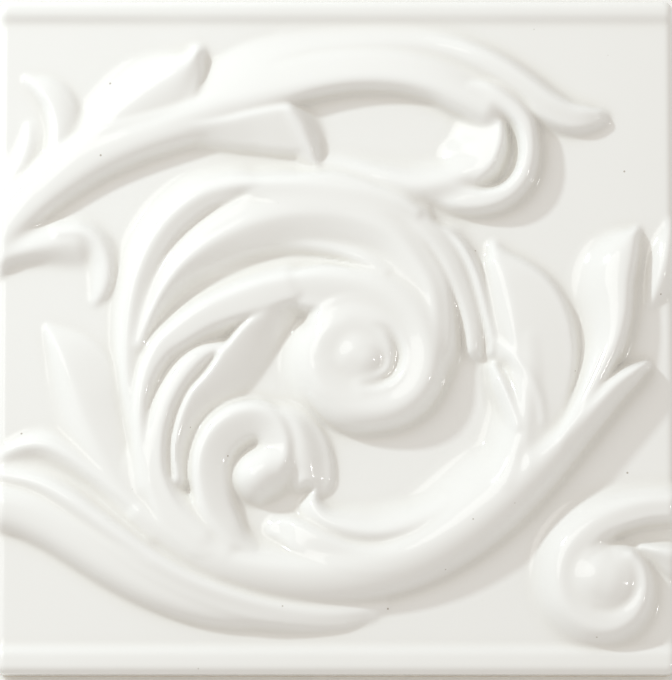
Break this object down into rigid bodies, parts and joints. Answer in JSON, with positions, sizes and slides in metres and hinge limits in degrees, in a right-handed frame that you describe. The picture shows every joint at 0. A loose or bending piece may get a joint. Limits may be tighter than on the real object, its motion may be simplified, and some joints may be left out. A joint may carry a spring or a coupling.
{
  "type": "ceramic relief tile",
  "caption": "Square glazed ceramic wall tile with a raised acanthus scroll running across its face and a plain flat back.",
  "frame": {"origin": "centre of the square back face, on the surface the tile lies on", "axes": "+Z out of the glazed face, +Y to the top of the pattern, +X to its right"},
  "size_m": [0.152, 0.152, 0.0176],
  "materials": {
    "glaze": "gloss"
  },
  "bodies": {
    "root": {"relief_tile": "glaze"}
  },
  "joints": []
}
